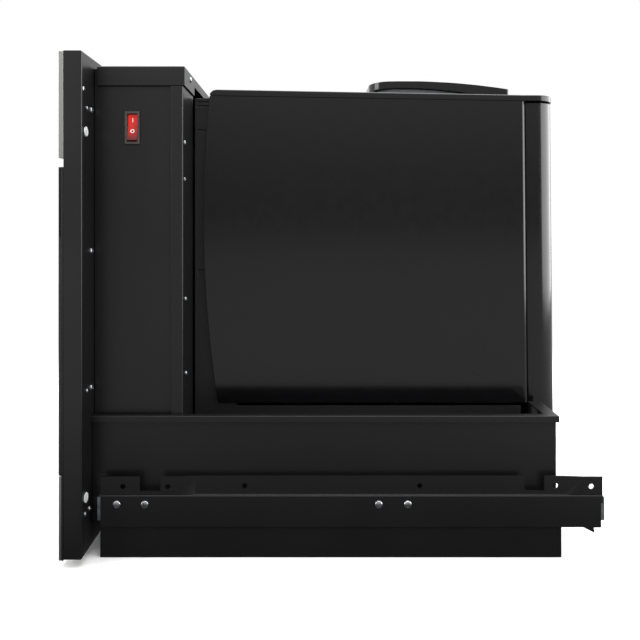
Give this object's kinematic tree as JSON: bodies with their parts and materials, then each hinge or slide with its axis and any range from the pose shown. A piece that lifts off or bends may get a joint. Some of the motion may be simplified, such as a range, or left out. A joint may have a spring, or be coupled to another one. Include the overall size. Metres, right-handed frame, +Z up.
{
  "type": "coffee machine",
  "caption": "Built-in bean-to-cup coffee machine on pull-out slides, with a steel and black glass front, side switch, drip tray and domed bean lid.",
  "frame": {"origin": "middle of the footprint, on the plane the base pan stands on", "axes": "+X to the side that carries the main switch, -Y towards the user, +Z up"},
  "size_m": [0.595, 0.496, 0.463],
  "materials": {
    "black_sheet": "satin black powder coat",
    "zinc_slide": "zinc-plated rolled steel",
    "zinc_screw": "bright zinc-plated screws",
    "brushed_fascia": "brushed stainless steel",
    "black_glass": "black-backed tempered glass",
    "clear_bumper": "translucent silicone",
    "switch_housing": "moulded nylon",
    "red_rocker": "translucent red, lit from inside",
    "button_metal": "gloss black button caps",
    "black_plastic": "fine-grained moulded ABS",
    "satin_casing": "satin-gloss black ABS",
    "smoked_plastic": "smoked translucent plastic",
    "grey_plastic": "dark grey moulded plastic",
    "stainless": "stainless steel",
    "tank_plastic": "clear SAN plastic",
    "cast_alloy": "die-cast aluminium",
    "burr_steel": "hardened steel",
    "motor_can": "lacquered motor can",
    "pump_coil": "varnished coil",
    "white_hose": "silicone hose",
    "circuit_board": "green solder mask"
  },
  "bodies": {
    "cabinet_mount": {"bracket_right": "black_sheet", "bracket_left": "black_sheet", "bracket_screws": "zinc_screw", "slide_outer_right": "zinc_slide", "slide_outer_left": "zinc_slide"},
    "slide_middle": {"slide_middle_right": "zinc_slide", "slide_middle_left": "zinc_slide"},
    "carriage": {"slide_inner_right": "zinc_slide", "slide_inner_left": "zinc_slide", "base_pan": "black_sheet", "tray": "black_sheet", "front_frame": "black_sheet", "column_shell": "black_sheet", "column_cap": "black_sheet", "control_fascia": "brushed_fascia", "display_glass": "black_glass", "front_bumpers": "clear_bumper", "frame_screws": "zinc_screw", "column_screws": "zinc_screw", "switch_bezel": "switch_housing", "niche_liner": "black_plastic", "machine_neck": "black_plastic", "machine_base": "black_plastic", "side_panel_right": "satin_casing", "side_panel_left": "satin_casing", "rear_housing": "satin_casing", "top_cover": "satin_casing", "lid_collar": "smoked_plastic", "bean_hopper": "smoked_plastic", "grinder_body": "cast_alloy", "grinder_motor": "motor_can", "brew_unit": "grey_plastic", "brew_motor": "motor_can", "boiler": "cast_alloy", "pump": "pump_coil", "water_hoses": "white_hose", "power_board": "circuit_board", "control_board": "circuit_board", "mains_inlet": "black_plastic"},
    "service_door": {"door_frame": "black_sheet", "door_glass": "black_glass", "door_strip": "brushed_fascia"},
    "coffee_spout": {"coffee_spout": "grey_plastic"},
    "water_nozzle": {"water_nozzle": "stainless"},
    "drip_tray": {"drip_tray": "black_plastic", "drip_grid": "stainless", "grounds_container": "grey_plastic"},
    "bean_lid": {"bean_lid": "satin_casing"},
    "grind_knob": {"grind_knob": "grey_plastic"},
    "power_rocker": {"power_rocker": "red_rocker"},
    "grinder_rotor": {"grinder_rotor": "burr_steel"},
    "brew_piston": {"brew_piston": "stainless"},
    "brew_spindle": {"brew_spindle": "stainless"},
    "water_tank": {"water_tank": "tank_plastic"},
    "tank_lid": {"tank_lid": "satin_casing"},
    "power_button": {"power_button": "button_metal"},
    "drink_button_1": {"drink_button_1": "button_metal"},
    "drink_button_2": {"drink_button_2": "button_metal"},
    "drink_button_3": {"drink_button_3": "button_metal"},
    "drink_button_4": {"drink_button_4": "button_metal"}
  },
  "joints": [
    {"name": "carriage_slide", "type": "slide", "parent": "cabinet_mount", "child": "carriage", "axis": [0, -1, 0], "range_m": [0, 0.38]},
    {"name": "middle_slide", "type": "slide", "parent": "cabinet_mount", "child": "slide_middle", "axis": [0, -1, 0], "range_m": [0, 0.19]},
    {"name": "door_hinge", "type": "hinge", "parent": "carriage", "child": "service_door", "pos_m": [-0.292, -0.24585, 0.2], "axis": [0, 0, -1], "range_deg": [0, 100]},
    {"name": "spout_slide", "type": "slide", "parent": "carriage", "child": "coffee_spout", "axis": [0, 0, -1], "range_m": [0, 0.052]},
    {"name": "nozzle_swivel", "type": "hinge", "parent": "carriage", "child": "water_nozzle", "pos_m": [0.078, -0.178, 0.34], "axis": [0, 0, 1], "range_deg": [-40, 40]},
    {"name": "drip_tray_slide", "type": "slide", "parent": "carriage", "child": "drip_tray", "axis": [0, -1, 0], "range_m": [0, 0.15]},
    {"name": "bean_lid_hinge", "type": "hinge", "parent": "carriage", "child": "bean_lid", "pos_m": [0.112, 0.1834, 0.4454], "axis": [-1, 0, 0], "range_deg": [0, 95]},
    {"name": "grind_knob_turn", "type": "hinge", "parent": "carriage", "child": "grind_knob", "pos_m": [0.06, 0.074, 0.405], "axis": [0, 0, 1], "range_deg": [-90, 90]},
    {"name": "rocker_hinge", "type": "hinge", "parent": "carriage", "child": "power_rocker", "pos_m": [0.2629, -0.1909, 0.3985], "axis": [0, 1, 0], "range_deg": [0, 18]},
    {"name": "grinder_spin", "type": "hinge", "parent": "carriage", "child": "grinder_rotor", "pos_m": [0.112, 0.112, 0.3], "axis": [0, 0, 1], "continuous": true},
    {"name": "brew_spindle_turn", "type": "hinge", "parent": "carriage", "child": "brew_spindle", "pos_m": [0, -0.008, 0.2], "axis": [0, 0, 1], "range_deg": [0, 1801]},
    {"name": "brew_piston_slide", "type": "slide", "parent": "carriage", "child": "brew_piston", "axis": [0, 0, 1], "range_m": [0, 0.06]},
    {"name": "tank_lift", "type": "slide", "parent": "carriage", "child": "water_tank", "axis": [0, 0, 1], "range_m": [0, 0.29]},
    {"name": "tank_lid_lift", "type": "slide", "parent": "water_tank", "child": "tank_lid", "axis": [0, 0, 1], "range_m": [0, 0.06]},
    {"name": "power_button_press", "type": "slide", "parent": "carriage", "child": "power_button", "axis": [0, 1, 0], "range_m": [0, 0.0015], "stiffness_N_per_m": 400, "springref_m": -0.0005},
    {"name": "drink_button_1_press", "type": "slide", "parent": "carriage", "child": "drink_button_1", "axis": [0, 1, 0], "range_m": [0, 0.0015], "stiffness_N_per_m": 400, "springref_m": -0.0005},
    {"name": "drink_button_2_press", "type": "slide", "parent": "carriage", "child": "drink_button_2", "axis": [0, 1, 0], "range_m": [0, 0.0015], "stiffness_N_per_m": 400, "springref_m": -0.0005},
    {"name": "drink_button_3_press", "type": "slide", "parent": "carriage", "child": "drink_button_3", "axis": [0, 1, 0], "range_m": [0, 0.0015], "stiffness_N_per_m": 400, "springref_m": -0.0005},
    {"name": "drink_button_4_press", "type": "slide", "parent": "carriage", "child": "drink_button_4", "axis": [0, 1, 0], "range_m": [0, 0.0015], "stiffness_N_per_m": 400, "springref_m": -0.0005}
  ],
  "couplings": [
    {"joint": "middle_slide", "follows": "carriage_slide", "ratio": 0.5},
    {"joint": "brew_spindle_turn", "follows": "brew_piston_slide", "rad_per_m": 523.6}
  ]
}
